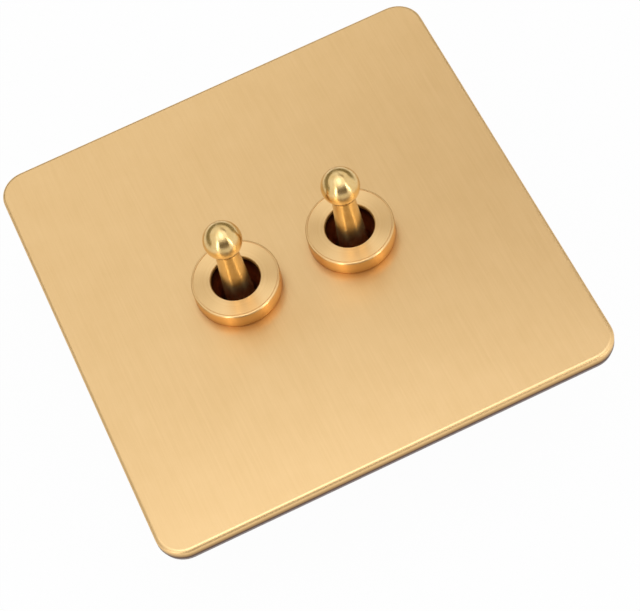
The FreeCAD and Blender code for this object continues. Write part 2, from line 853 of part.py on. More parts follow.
# Housing and cover
def switch_cover(side, across):
    leg_in = s.housing_length / 2 + s.cover_play
    leg_out = leg_in + s.cover_thick
    leg_end = cover_back - s.cover_leg_drop
    hook_top = leg_end + s.cover_thick
    half = s.housing_width / 2
    body = new_body(f"switch_cover_{side}")
    top = new_sketch(body, "XY_Plane", cover_back)
    draw_rectangle(top, -half, -leg_out, half, leg_out)
    pad(body, top, s.cover_thick)
    for turn in (-1, 1):
        leg = new_sketch(body, "YZ_Plane")
        draw_polygon(leg, [
            (leg_in * turn, cover_top), (leg_out * turn, cover_top), (leg_out * turn, leg_end),
            ((leg_in - s.cover_hook) * turn, leg_end), ((leg_in - s.cover_hook) * turn, hook_top),
            (leg_in * turn, hook_top)])
        pad(body, leg, s.cover_leg_width, both=True)
    dress(body, "Fillet", fold_edge("X", leg_out, cover_top), s.cover_bend)
    hole = new_sketch(body, "XY_Plane", cover_top)
    draw_circle(hole, 0, 0, s.spigot_dia / 2 + s.spigot_play)
    pocket(body, hole, s.cover_thick)
    keep(body, body.Label, across)


def switch_housing(side, across):
    half_across = s.housing_width / 2
    half_up = s.housing_length / 2
    room_across = half_across - s.housing_side_wall
    room_up = half_up - s.housing_end_wall
    rest_level = housing_back - s.housing_skirt
    body = new_body(f"switch_housing_{side}")
    outline = new_sketch(body, "XY_Plane", rest_level)
    draw_rectangle(outline, -half_across, -half_up, half_across, half_up)
    pad(body, outline, s.housing_height + s.housing_skirt)
    dress(body, "Fillet", upright_at(half_across, half_up), s.housing_corner)
    ribs = new_sketch(body, "XY_Plane", housing_back)
    rib_in = half_across - s.rib_proud
    rib_out = half_across + s.rib_proud
    half_rib = s.rib_width / 2
    for turn in (-1, 0, 1):
        up = s.rib_pitch * turn
        draw_rectangle(ribs, rib_in, up - half_rib, rib_out, up + half_rib)
        draw_rectangle(ribs, -rib_out, up - half_rib, -rib_in, up + half_rib)
    pad(body, ribs, s.housing_height - s.rib_short)
    room = new_sketch(body, "XY_Plane", cover_back)
    draw_rectangle(room, -room_across, -room_up, room_across, room_up)
    pocket(body, room, s.housing_height - s.housing_floor)
    bays = new_sketch(body, "YZ_Plane")
    inner = s.barrier_offset - s.barrier_thick / 2
    outer = s.barrier_offset + s.barrier_thick / 2
    skirt = half_up - s.skirt_thick
    draw_rectangle(bays, -inner, rest_level, inner, housing_back)
    draw_rectangle(bays, outer, rest_level, skirt, housing_back)
    draw_rectangle(bays, -skirt, rest_level, -outer, housing_back)
    pocket(body, bays, s.housing_width + s.housing_corner, both=True)
    slots = new_sketch(body, "XY_Plane", floor_top)
    cheek_in = s.cheek_span / 2 - s.strap_play
    cheek_out = s.cheek_span / 2 + s.strap_thick + s.strap_play
    half_strap = s.strap_width / 2 + s.strap_play
    leg_in = s.end_strap_reach - s.strap_thick - s.strap_play
    leg_out = s.end_strap_reach + s.strap_play
    draw_rectangle(slots, cheek_in, -half_strap, cheek_out, half_strap)
    draw_rectangle(slots, -cheek_out, -half_strap, -cheek_in, half_strap)
    draw_rectangle(slots, -half_strap, leg_in, half_strap, leg_out)
    draw_rectangle(slots, -half_strap, -leg_out, half_strap, -leg_in)
    pocket(body, slots, s.housing_floor)
    pockets = new_sketch(body, "XY_Plane", housing_back)
    for turn in (-1, 0, 1):
        draw_circle(pockets, 0, s.end_screw_offset * turn, s.pocket_dia / 2)
    pocket(body, pockets, s.pocket_depth, back=True)
    catches = new_sketch(body, "XY_Plane", cover_back - s.cover_leg_drop - s.hook_play)
    catch_half = s.cover_leg_width / 2 + s.hook_play
    catch_in = half_up + s.cover_play - s.cover_hook - s.hook_play
    draw_rectangle(catches, -catch_half, catch_in, catch_half, half_up + s.cover_thick)
    draw_rectangle(catches, -catch_half, -half_up - s.cover_thick, catch_half, -catch_in)
    pocket(body, catches, s.cover_thick + s.hook_play * 2, back=True)
    keep(body, body.Label, across)


# Build, check and write
fascia_plate()
backing_frame()
mounting_yoke()
earth_screw()
earth_washer()
for side, turn in GANGS:
    across = s.gang_pitch * turn
    for make in (collar_nut, bush, lock_washer, back_nut, dolly, pivot_pin, plunger_spring, plunger,
                 contact_rocker, moving_contacts, fixed_contacts, terminal_common):
        make(side, across)
    terminal_end(side, across, "upper", 1)
    terminal_end(side, across, "lower", -1)
    for make in (terminal_screws, terminal_washers, switch_cover, switch_housing):
        make(side, across)
doc.recompute()

for item in doc.Objects:
    assert not {"Invalid", "Error"} & set(item.State), f"{item.Label} is {item.State}"
os.makedirs("parts", exist_ok=True)
for piece in pieces:
    assert piece.Shape.isValid() and piece.Shape.Volume > 0, f"{piece.Label} has no sound shape"
    piece.Shape.exportStep(f"parts/{piece.Label}.step")
    room = piece.Shape.BoundBox
    spans = f"{room.XLength:.2f} {room.YLength:.2f} {room.ZLength:.2f}"
    print(piece.Label, f"{piece.Shape.Volume:.2f}", spans, f"{room.ZMin:.2f} {room.ZMax:.2f}")
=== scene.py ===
"""Two gang brass dolly switch: brushed plate, turned collars and polished ball-ended dollies."""
from math import radians

import bmesh
import bpy
from mathutils import Matrix, Vector


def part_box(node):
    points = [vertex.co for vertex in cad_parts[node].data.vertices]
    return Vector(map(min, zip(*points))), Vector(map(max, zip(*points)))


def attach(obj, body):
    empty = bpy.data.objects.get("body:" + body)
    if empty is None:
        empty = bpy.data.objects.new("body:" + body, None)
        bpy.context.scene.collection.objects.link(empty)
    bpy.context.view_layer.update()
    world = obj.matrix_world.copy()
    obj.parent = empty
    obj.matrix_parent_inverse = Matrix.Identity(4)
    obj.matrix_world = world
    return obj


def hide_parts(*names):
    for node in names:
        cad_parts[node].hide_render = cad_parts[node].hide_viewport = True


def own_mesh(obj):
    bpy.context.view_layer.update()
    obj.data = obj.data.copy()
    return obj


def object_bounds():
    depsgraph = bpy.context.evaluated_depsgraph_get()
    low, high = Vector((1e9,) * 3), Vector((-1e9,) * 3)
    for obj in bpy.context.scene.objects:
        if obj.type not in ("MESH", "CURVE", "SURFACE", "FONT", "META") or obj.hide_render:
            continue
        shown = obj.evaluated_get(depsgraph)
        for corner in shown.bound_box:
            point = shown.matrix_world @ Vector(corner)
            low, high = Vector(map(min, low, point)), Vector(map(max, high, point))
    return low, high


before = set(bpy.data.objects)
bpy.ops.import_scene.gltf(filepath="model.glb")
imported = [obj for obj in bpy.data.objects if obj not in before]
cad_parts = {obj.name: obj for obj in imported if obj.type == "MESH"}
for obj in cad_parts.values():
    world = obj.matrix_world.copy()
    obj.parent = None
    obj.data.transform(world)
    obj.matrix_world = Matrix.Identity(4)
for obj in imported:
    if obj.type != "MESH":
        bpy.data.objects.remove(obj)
cad_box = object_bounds()
scene = bpy.context.scene

# The viewing angle. A long lens looks down on the near edge of the plate, turned a little to one
# side, so that the plate fills the frame from corner to corner.
MM = 0.001
LENS_MM = 119.17
SENSOR_MM = 36.0
CLIP_NEAR = 0.01
CLIP_FAR = 20.0
CAMERA_PLACE_MM = (-35.121, -196.175, 324.831)
CAMERA_RIGHT = Vector((0.90325, -0.40704, -0.13588))
CAMERA_UP = Vector((0.41856, 0.76591, 0.48804))
CAMERA_BACK = Vector((-0.09458, -0.49770, 0.86218))
camera_data = bpy.data.cameras.new("photo_camera")
camera_data.lens = LENS_MM
camera_data.sensor_width = SENSOR_MM
camera_data.sensor_fit = "HORIZONTAL"
camera_data.clip_start = CLIP_NEAR
camera_data.clip_end = CLIP_FAR
camera = bpy.data.objects.new("photo_camera", camera_data)
scene.collection.objects.link(camera)
camera_turn = Matrix((CAMERA_RIGHT, CAMERA_UP, CAMERA_BACK)).transposed().to_4x4()
camera.matrix_world = Matrix.Translation(Vector(CAMERA_PLACE_MM) * MM) @ camera_turn
scene.camera = camera
scene.view_settings.view_transform = "Standard"


# The room: white on every side, as a light tent is. The camera and the metal see it as plain
# white; what it sheds on matt things is a little weaker, so that shadows stay.
def linear(hex_colour):
    """Turn an sRGB hex colour into the linear values that a shader takes."""
    parts = [int(hex_colour[start:start + 2], 16) / 255 for start in (1, 3, 5)]
    parts = [part / 12.92 if part <= 0.04045 else ((part + 0.055) / 1.055) ** 2.4 for part in parts]
    return (*parts, 1.0)


def add(tree, kind, sockets, stops=(), **settings):
    """Add one node. Sockets take plain values or other nodes' outputs; stops fill a colour ramp."""
    node = tree.nodes.new(kind)
    for name, value in settings.items():
        setattr(node, name, value)
    for name, value in sockets.items():
        if isinstance(value, bpy.types.NodeSocket):
            tree.links.new(value, node.inputs[name])
        else:
            node.inputs[name].default_value = value
    if stops:
        marks = node.color_ramp.elements
        for position, _ in stops[1:-1]:
            marks.new(position)
        for mark, (position, colour) in zip(marks, stops):
            mark.position = position
            mark.color = linear(colour)
    return node


ROOM_SHED = 0.62
ROOM_SHOWN = 1.0
world = bpy.data.worlds.new("white_room")
world.use_nodes = True
scene.world = world
tree = world.node_tree
tree.nodes.clear()
seen_by = add(tree, "ShaderNodeLightPath", {})
direct = add(tree, "ShaderNodeMath", {0: seen_by.outputs["Is Camera Ray"],
                                      1: seen_by.outputs["Is Glossy Ray"]}, operation="MAXIMUM")
shown = add(tree, "ShaderNodeMath", {0: direct.outputs[0],
                                     1: seen_by.outputs["Is Transmission Ray"]}, operation="MAXIMUM")
shed = add(tree, "ShaderNodeBackground", {"Color": linear("#FFFFFF"), "Strength": ROOM_SHED})
white = add(tree, "ShaderNodeBackground", {"Color": linear("#FFFFFF"), "Strength": ROOM_SHOWN})
mixed = add(tree, "ShaderNodeMixShader", {0: shown.outputs[0], 1: shed.outputs[0], 2: white.outputs[0]})
add(tree, "ShaderNodeOutputWorld", {"Surface": mixed.outputs[0]})

# The table: a sheet of white card under the switch, just below its lowest edge. It shows nearly
# white and keeps a trace of the shadow.
TABLE_HALF = 3.0
TABLE_GAP = 0.02 * MM
TABLE_SHOWN_WHITE = 0.97


def new_material(name):
    """Start an empty material and give its node tree."""
    material = bpy.data.materials.new(name)
    material.use_nodes = True
    material.node_tree.nodes.clear()
    return material, material.node_tree


def new_object(name, shape, material):
    """Make an object from a bmesh, at the origin, with one material."""
    mesh = bpy.data.meshes.new(name)
    shape.to_mesh(mesh)
    shape.free()
    mesh.materials.append(material)
    thing = bpy.data.objects.new(name, mesh)
    scene.collection.objects.link(thing)
    return thing


white_card, tree = new_material("matt_white_card")
seen_by = add(tree, "ShaderNodeLightPath", {})
shown = add(tree, "ShaderNodeMath", {0: seen_by.outputs["Is Camera Ray"],
                                     1: seen_by.outputs["Is Glossy Ray"]}, operation="MAXIMUM")
part_white = add(tree, "ShaderNodeMath", {0: shown.outputs[0], 1: TABLE_SHOWN_WHITE}, operation="MULTIPLY")
paper = add(tree, "ShaderNodeBsdfDiffuse", {"Color": linear("#F7F7F6")})
glow = add(tree, "ShaderNodeEmission", {"Color": linear("#FFFFFF"), "Strength": ROOM_SHOWN})
mixed = add(tree, "ShaderNodeMixShader", {
    0: part_white.outputs[0], 1: paper.outputs[0], 2: glow.outputs[0]})
add(tree, "ShaderNodeOutputMaterial", {"Surface": mixed.outputs[0]})
shape = bmesh.new()
bmesh.ops.create_grid(shape, x_segments=1, y_segments=1, size=TABLE_HALF,
                      matrix=Matrix.Translation((0, 0, cad_box[0][2] - TABLE_GAP)))
new_object("table", shape, white_card)

# The lamps: a wide soft box overhead with a brighter core, and an upright strip to each side of the
# camera. They draw the bright patch and the two streaks on the polished balls.
LAMPS = (
    # name, outline, place, width, height, watts, colour
    ("overhead_box", "ELLIPSE", (0.00, -0.03, 0.66), 0.76, 0.66, 0.92, "#DDE9FF"),
    ("overhead_core", "ELLIPSE", (-0.02, -0.06, 0.62), 0.24, 0.20, 0.24, "#FFFFFF"),
    ("left_strip", "RECTANGLE", (-0.505, -0.455, 0.32), 0.09, 0.60, 0.90, "#FFFFFF"),
    ("right_strip", "RECTANGLE", (0.40, -0.545, 0.32), 0.07, 0.60, 0.75, "#FFFFFF"),
)
for name, outline, place, wide, high, watts, colour in LAMPS:
    lamp_data = bpy.data.lights.new(name, "AREA")
    lamp_data.shape = outline
    lamp_data.size = wide
    lamp_data.size_y = high
    lamp_data.energy = watts
    lamp_data.color = linear(colour)[:3]
    lamp = bpy.data.objects.new(name, lamp_data)
    scene.collection.objects.link(lamp)
    aim = (-Vector(place)).to_track_quat("-Z", "Y").to_matrix().to_4x4()
    lamp.matrix_world = Matrix.Translation(place) @ aim

# The cards round the set: a beige one that the plate mirrors and a dark one behind the camera. A
# low grey skirt goes round the far half and lines the outlines of plate and balls. None of them
# shows to the camera.
CARDS = (
    # name, place, width, height, colour
    ("beige_card", (0.33, 0.36, 0.72), 0.44, 0.18, "#AC8E54"),
    ("dark_card", (-0.12, -0.86, 0.48), 1.00, 0.80, "#7A6C5A"),
)
HALF_SQUARE = 0.5    # a card starts one metre square and is then scaled
SKIRT_RADIUS = 0.85
SKIRT_LOW = -0.02
SKIRT_HIGH = 0.42
SKIRT_STEPS = 48
SKIRT_START_DEGREES = 5
SKIRT_TURN_DEGREES = 180


def set_up_card(name, shape, colour):
    """Make a matt card from a bmesh and keep it out of the picture."""
    card, tree = new_material(name)
    matt = add(tree, "ShaderNodeBsdfDiffuse", {"Color": linear(colour)})
    add(tree, "ShaderNodeOutputMaterial", {"Surface": matt.outputs[0]})
    board = new_object(name, shape, card)
    board.visible_camera = False
    board.visible_shadow = False


for name, place, wide, high, colour in CARDS:
    aim = (-Vector(place)).to_track_quat("Z", "Y").to_matrix().to_4x4()
    shape = bmesh.new()
    bmesh.ops.create_grid(shape, x_segments=1, y_segments=1, size=HALF_SQUARE,
                          matrix=Matrix.Translation(place) @ aim @ Matrix.Diagonal((wide, high, 1, 1)))
    set_up_card(name, shape, colour)
shape = bmesh.new()
start = Matrix.Rotation(radians(SKIRT_START_DEGREES), 4, "Z")
foot = shape.verts.new(start @ Vector((SKIRT_RADIUS, 0, SKIRT_LOW)))
head = shape.verts.new(start @ Vector((SKIRT_RADIUS, 0, SKIRT_HIGH)))
upright = shape.edges.new((foot, head))
bmesh.ops.spin(shape, geom=[foot, head, upright], cent=(0, 0, 0), axis=(0, 0, 1), steps=SKIRT_STEPS,
               angle=radians(SKIRT_TURN_DEGREES))
set_up_card("grey_skirt", shape, "#BAB296")


# The front plate: brass sheet with a rounded edge, brushed up the wall with a fine belt and
# lacquered. The belt's lines spread reflections sideways and give a faint mottle. Painted shade
# darkens the cut edge below the rounding towards the back, for the shadow in the gap to the frame.
def finish(material, *names):
    """Give solids of the frame their finish."""
    for name in names:
        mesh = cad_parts[name].data
        mesh.materials.clear()
        mesh.materials.append(material)


# A Mix node repeats the names of its sockets, so they go by number.
SHARE, FIRST, SECOND = 0, 2, 3
FIRST_COLOUR, SECOND_COLOUR, MIXED_COLOUR = 6, 7, 2
BRUSH_GAP_MM = 0.30    # real lines are about a tenth of this, too fine to show
BRUSH_RUN_MM = 9.0
BRUSH_DEPTH_MM = 0.01
BRUSH_ROUGHNESS = (0.31, 0.37)
MOTTLE_MM = 6.0
MOTTLE_SHARE = 0.45
PLATE_TONES = ((0.30, "#E8C289"), (0.70, "#EEC991"))
# painted shade: the plate's cut edge darkens towards the back, for the shadow between plate and frame
EDGE_SHADE_TONES = ((0.0, "#4A3A34"), (0.20, "#5A463C"), (0.42, "#AC9A80"), (0.72, "#D2CBB2"), (1.0, "#FFFFFF"))
EDGE_FADE_MM = 1.5
EDGE_ROUGHNESS = 0.46
FACE_FADE_MM = 0.3
TANGENT_TILT = 0.02    # keeps the lines' direction off the normal of walls that face along it
brushed_brass, tree = new_material("brushed_lacquered_brass")
place = add(tree, "ShaderNodeTexCoord", {}).outputs["Object"]
along = add(tree, "ShaderNodeMapping", {
    "Vector": place, "Scale": (1 / (BRUSH_GAP_MM * MM), 1 / (BRUSH_RUN_MM * MM), 1 / (BRUSH_GAP_MM * MM))})
lines = add(tree, "ShaderNodeTexNoise", {"Vector": along.outputs[0], "Scale": 1.0, "Detail": 3.0})
mottle = add(tree, "ShaderNodeTexNoise", {"Vector": place, "Scale": 1 / (MOTTLE_MM * MM), "Detail": 4.0})
blend = add(tree, "ShaderNodeMix", {
    SHARE: MOTTLE_SHARE, FIRST: lines.outputs["Fac"], SECOND: mottle.outputs["Fac"]})
tone = add(tree, "ShaderNodeValToRGB", {"Fac": blend.outputs[0]}, stops=PLATE_TONES)
plate_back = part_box("fascia_plate")[0][2]
plate_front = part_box("fascia_plate")[1][2]
level = add(tree, "ShaderNodeSeparateXYZ", {"Vector": place})
up_edge = add(tree, "ShaderNodeMapRange", {
    "Value": level.outputs["Z"], "From Min": plate_back, "From Max": plate_back + EDGE_FADE_MM * MM})
# Painted shade on the plate's cut edge, darkest at the back where it meets the frame.
darkened_low = add(tree, "ShaderNodeValToRGB", {"Fac": up_edge.outputs[0]}, stops=EDGE_SHADE_TONES)
edged = add(tree, "ShaderNodeMix", {
    SHARE: 1.0, FIRST_COLOUR: tone.outputs[0], SECOND_COLOUR: darkened_low.outputs[0]},
    data_type="RGBA", blend_type="MULTIPLY")
on_face = add(tree, "ShaderNodeMapRange", {
    "Value": level.outputs["Z"], "From Min": plate_front - FACE_FADE_MM * MM, "From Max": plate_front})
belt = add(tree, "ShaderNodeMapRange", {
    "Value": lines.outputs["Fac"], "To Min": BRUSH_ROUGHNESS[0], "To Max": BRUSH_ROUGHNESS[1]})
rough = add(tree, "ShaderNodeMix", {
    SHARE: on_face.outputs[0], FIRST: EDGE_ROUGHNESS, SECOND: belt.outputs[0]})
cut = add(tree, "ShaderNodeMath", {0: lines.outputs["Fac"], 1: on_face.outputs[0]}, operation="MULTIPLY")
ridge = add(tree, "ShaderNodeBump", {
    "Strength": 0.05, "Distance": BRUSH_DEPTH_MM * MM, "Height": cut.outputs[0]})
across = add(tree, "ShaderNodeCombineXYZ", {"X": 1.0, "Z": TANGENT_TILT})
skin = add(tree, "ShaderNodeBsdfPrincipled", {
    "Base Color": edged.outputs[MIXED_COLOUR], "Metallic": 1.0, "Roughness": rough.outputs[0],
    "Anisotropic": 0.6, "Tangent": across.outputs[0], "Normal": ridge.outputs[0]})
add(tree, "ShaderNodeOutputMaterial", {"Surface": skin.outputs[0]})
finish(brushed_brass, "fascia_plate")

# The frame behind the plate: moulded ABS with a fine spark-eroded grain, clamped between the
# plate and the wall. It shows as a thin dark line under the plate's edge.
GRAIN_MM = 0.25
GRAIN_DEPTH_MM = 0.02
FRAME_TONES = ((0.0, "#7C6C69"), (1.0, "#94837F"))
moulded_abs, tree = new_material("grained_moulded_abs")
place = add(tree, "ShaderNodeTexCoord", {}).outputs["Object"]
grain = add(tree, "ShaderNodeTexNoise", {"Vector": place, "Scale": 1 / (GRAIN_MM * MM), "Detail": 2.0})
tone = add(tree, "ShaderNodeValToRGB", {"Fac": grain.outputs["Fac"]}, stops=FRAME_TONES)
pits = add(tree, "ShaderNodeBump", {
    "Strength": 0.3, "Distance": GRAIN_DEPTH_MM * MM, "Height": grain.outputs["Fac"]})
skin = add(tree, "ShaderNodeBsdfPrincipled", {
    "Base Color": tone.outputs[0], "Roughness": 0.5, "IOR": 1.54, "Normal": pits.outputs[0]})
add(tree, "ShaderNodeOutputMaterial", {"Surface": skin.outputs[0]})
finish(moulded_abs, "backing_frame")

# The yoke, washers, nuts, covers and clamp screws: steel with bright zinc plate, which has small
# clouds of lighter and darker crystal and a slightly cool tint.
SIDES = ("left", "right")
CRYSTAL_MM = 1.2
CLOUD_MM = 7.0
CLOUD_SHARE = 0.65
ZINC_TONES = ((0.30, "#A4A8AD"), (0.65, "#C9CCCE"))
ZINC_ROUGHNESS = (0.24, 0.44)
zinc_plate, tree = new_material("bright_zinc_plated_steel")
place = add(tree, "ShaderNodeTexCoord", {}).outputs["Object"]
crystal = add(tree, "ShaderNodeTexVoronoi", {"Vector": place, "Scale": 1 / (CRYSTAL_MM * MM)})
cloud = add(tree, "ShaderNodeTexNoise", {"Vector": place, "Scale": 1 / (CLOUD_MM * MM), "Detail": 5.0})
blend = add(tree, "ShaderNodeMix", {
    SHARE: CLOUD_SHARE, FIRST: crystal.outputs["Distance"], SECOND: cloud.outputs["Fac"]})
tone = add(tree, "ShaderNodeValToRGB", {"Fac": blend.outputs[0]}, stops=ZINC_TONES)
rough = add(tree, "ShaderNodeMapRange", {
    "Value": blend.outputs[0], "To Min": ZINC_ROUGHNESS[0], "To Max": ZINC_ROUGHNESS[1]})
skin = add(tree, "ShaderNodeBsdfPrincipled", {
    "Base Color": tone.outputs[0], "Metallic": 1.0, "Roughness": rough.outputs[0]})
add(tree, "ShaderNodeOutputMaterial", {"Surface": skin.outputs[0]})
finish(zinc_plate, "mounting_yoke")
for side in SIDES:
    finish(zinc_plate, f"lock_washer_{side}", f"back_nut_{side}", f"switch_cover_{side}",
           f"terminal_screws_{side}", f"terminal_washers_{side}")

# The collars: brass bar turned on a lathe, its face left with fine tool rings and its rim
# rounded. Each screws onto its bush and clamps the plate.
RING_GAP_MM = 0.35    # real tool rings are about a fifth of this, too fine to show
RING_ROUGHNESS = (0.33, 0.36)
COLLAR_TONES = ((0.30, "#E8C186"), (0.70, "#ECC68C"))
# The collar's side is darker towards the plate and lighter towards the rim; the face keeps its tone.
COLLAR_SIDE_TONES = ((0.0, "#C8AC84"), (0.45, "#ECD8B4"), (0.88, "#F6E8CC"), (0.95, "#FFFFFF"))
for side in SIDES:
    low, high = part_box(f"collar_nut_{side}")
    turned_brass, tree = new_material(f"turned_brass_{side}")
    place = add(tree, "ShaderNodeTexCoord", {}).outputs["Object"]
    centred = add(tree, "ShaderNodeMapping", {"Vector": place, "Location": (-(low[0] + high[0]) / 2, 0, 0)})
    outward = add(tree, "ShaderNodeVectorMath", {0: centred.outputs[0], 1: (1, 1, 0)}, operation="MULTIPLY")
    radius = add(tree, "ShaderNodeVectorMath", {0: outward.outputs[0]}, operation="LENGTH")
    unit = add(tree, "ShaderNodeVectorMath", {0: outward.outputs[0]}, operation="NORMALIZE")
    over_rim = add(tree, "ShaderNodeVectorMath", {0: unit.outputs[0], 1: (0, 0, 1)}, operation="SUBTRACT")
    rings = add(tree, "ShaderNodeTexNoise", {
        "W": radius.outputs["Value"], "Scale": 1 / (RING_GAP_MM * MM), "Detail": 3.0},
        noise_dimensions="1D")
    tone = add(tree, "ShaderNodeValToRGB", {"Fac": rings.outputs["Fac"]}, stops=COLLAR_TONES)
    level = add(tree, "ShaderNodeSeparateXYZ", {"Vector": place})
    up_side = add(tree, "ShaderNodeMapRange", {
        "Value": level.outputs["Z"], "From Min": low[2], "From Max": high[2]})
    darkened_low = add(tree, "ShaderNodeValToRGB", {"Fac": up_side.outputs[0]}, stops=COLLAR_SIDE_TONES)
    sided = add(tree, "ShaderNodeMix", {
        SHARE: 1.0, FIRST_COLOUR: tone.outputs[0], SECOND_COLOUR: darkened_low.outputs[0]},
        data_type="RGBA", blend_type="MULTIPLY")
    rough = add(tree, "ShaderNodeMapRange", {
        "Value": rings.outputs["Fac"], "To Min": RING_ROUGHNESS[0], "To Max": RING_ROUGHNESS[1]})
    skin = add(tree, "ShaderNodeBsdfPrincipled", {
        "Base Color": sided.outputs[MIXED_COLOUR], "Metallic": 1.0, "Roughness": rough.outputs[0],
        "Anisotropic": 0.85, "Tangent": over_rim.outputs[0]})
    add(tree, "ShaderNodeOutputMaterial", {"Surface": skin.outputs[0]})
    finish(turned_brass, f"collar_nut_{side}")

# The bushes: brass tube, threaded outside and chemically darkened to red-brown. Painted shade
# turns the throat black at the mouth and fades out further down. Two turns of the thread show
# behind the plate.
PATINA_MM = 1.5
MOUTH_FADE_MM = 3.0
BUSH_TONES = ((0.30, "#A65A30"), (0.70, "#C4743C"))
MOUTH_SHADE_TONES = ((0.0, "#FFFFFF"), (1.0, "#5A4A44"))
THREAD_PITCH_MM = 0.5
THREAD_TURNS = 2
THREAD_STEPS = 40
THREAD_START_MM = 1.45
THREAD_SUNK_MM = 0.04
THREAD_OUTLINE_MM = ((0.0, -0.20), (0.16, -0.04), (0.16, 0.04), (0.0, 0.20))
mouth_shaded_brass, tree = new_material("turned_brass_painted_mouth_shade")
place = add(tree, "ShaderNodeTexCoord", {}).outputs["Object"]
patina = add(tree, "ShaderNodeTexNoise", {"Vector": place, "Scale": 1 / (PATINA_MM * MM), "Detail": 4.0})
tone = add(tree, "ShaderNodeValToRGB", {"Fac": patina.outputs["Fac"]}, stops=BUSH_TONES)
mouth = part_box("bush_left")[1][2]
level = add(tree, "ShaderNodeSeparateXYZ", {"Vector": place})
down = add(tree, "ShaderNodeMapRange", {
    "Value": level.outputs["Z"], "From Min": mouth - MOUTH_FADE_MM * MM, "From Max": mouth})
# Painted shade: the throat darkens towards the mouth, where its upper wall lies in shade.
painted_mouth_shade = add(tree, "ShaderNodeValToRGB", {"Fac": down.outputs[0]}, stops=MOUTH_SHADE_TONES)
mouth_shaded_tone = add(tree, "ShaderNodeMix", {
    SHARE: 1.0, FIRST_COLOUR: tone.outputs[0], SECOND_COLOUR: painted_mouth_shade.outputs[0]},
    data_type="RGBA", blend_type="MULTIPLY")
skin = add(tree, "ShaderNodeBsdfPrincipled", {
    "Base Color": mouth_shaded_tone.outputs[MIXED_COLOUR], "Metallic": 1.0, "Roughness": 0.55})
add(tree, "ShaderNodeOutputMaterial", {"Surface": skin.outputs[0]})
for side in SIDES:
    finish(mouth_shaded_brass, f"bush_{side}")
    low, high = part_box(f"bush_{side}")
    middle = (low[0] + high[0]) / 2
    root = (high[0] - low[0]) / 2 - THREAD_SUNK_MM * MM
    shape = bmesh.new()
    flank = [shape.verts.new((middle + root + out * MM, 0, low[2] + (THREAD_START_MM + up) * MM))
             for out, up in THREAD_OUTLINE_MM]
    profile = shape.faces.new(flank)
    bmesh.ops.spin(shape, geom=[profile, *profile.edges, *flank], cent=(middle, 0, 0), axis=(0, 0, 1),
                   dvec=(0, 0, THREAD_PITCH_MM * MM / THREAD_STEPS), steps=THREAD_STEPS * THREAD_TURNS,
                   angle=radians(360 * THREAD_TURNS))
    bmesh.ops.recalc_face_normals(shape, faces=shape.faces)
    thread = new_object(f"bush_thread_{side}", shape, mouth_shaded_brass)
    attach(thread, "base")

# The dollies: brass bar turned to a ball, neck and tapered shaft, then buffed. The buffing leaves
# faint lines round the lever, so that highlights run along it, and leans a little over the ball.
HAZE_MM = 1.0
HAZE_ROUGHNESS = 0.015
DOLLY_TONES = ((0.30, "#DCB878"), (0.70, "#E6C78C"))
NECK_LEVEL_MM = 16.05
NECK_FADE_MM = 0.2
BALL_ROUGHNESS = 0.22
SHAFT_ROUGHNESS = 0.23
BUFF_LEAN = 0.55
polished_brass, tree = new_material("buffed_turned_brass")
place = add(tree, "ShaderNodeTexCoord", {}).outputs["Object"]
haze = add(tree, "ShaderNodeTexNoise", {"Vector": place, "Scale": 1 / (HAZE_MM * MM), "Detail": 3.0})
tone = add(tree, "ShaderNodeValToRGB", {"Fac": haze.outputs["Fac"]}, stops=DOLLY_TONES)
height = add(tree, "ShaderNodeSeparateXYZ", {"Vector": place})
over_neck = {"Value": height.outputs["Z"], "From Min": (NECK_LEVEL_MM - NECK_FADE_MM) * MM,
             "From Max": NECK_LEVEL_MM * MM}
coarse = add(tree, "ShaderNodeMapRange", {
    **over_neck, "To Min": SHAFT_ROUGHNESS, "To Max": BALL_ROUGHNESS})
rough = add(tree, "ShaderNodeMath", {
    0: haze.outputs["Fac"], 1: HAZE_ROUGHNESS, 2: coarse.outputs[0]}, operation="MULTIPLY_ADD")
lean = add(tree, "ShaderNodeMapRange", {**over_neck, "To Max": BUFF_LEAN})
lengthways = add(tree, "ShaderNodeCombineXYZ", {"X": TANGENT_TILT, "Y": lean.outputs[0], "Z": 1.0})
skin = add(tree, "ShaderNodeBsdfPrincipled", {
    "Base Color": tone.outputs[0], "Metallic": 1.0, "Roughness": rough.outputs[0], "Anisotropic": 0.88,
    "Tangent": lengthways.outputs[0]})
add(tree, "ShaderNodeOutputMaterial", {"Surface": skin.outputs[0]})
for side in SIDES:
    finish(polished_brass, f"dolly_{side}")

# The pivot pins and plunger springs: ground rod and drawn wire of bright steel, with a faint fine
# mottle. The springs are wound on a mandrel and sit in the dollies' bores, where the plungers
# press them together.
STEEL_MOTTLE_MM = 0.3
STEEL_TONES = ((0.0, "#8E9094"), (1.0, "#BFC1C4"))
WIRE_MM = 0.35
WIRE_SIDES = 12
COIL_TURNS = 5
COIL_STEPS = 36
drawn_steel, tree = new_material("bright_drawn_steel")
place = add(tree, "ShaderNodeTexCoord", {}).outputs["Object"]
drawn = add(tree, "ShaderNodeTexNoise", {
    "Vector": place, "Scale": 1 / (STEEL_MOTTLE_MM * MM), "Detail": 3.0})
tone = add(tree, "ShaderNodeValToRGB", {"Fac": drawn.outputs["Fac"]}, stops=STEEL_TONES)
skin = add(tree, "ShaderNodeBsdfPrincipled", {
    "Base Color": tone.outputs[0], "Metallic": 1.0, "Roughness": 0.25})
add(tree, "ShaderNodeOutputMaterial", {"Surface": skin.outputs[0]})
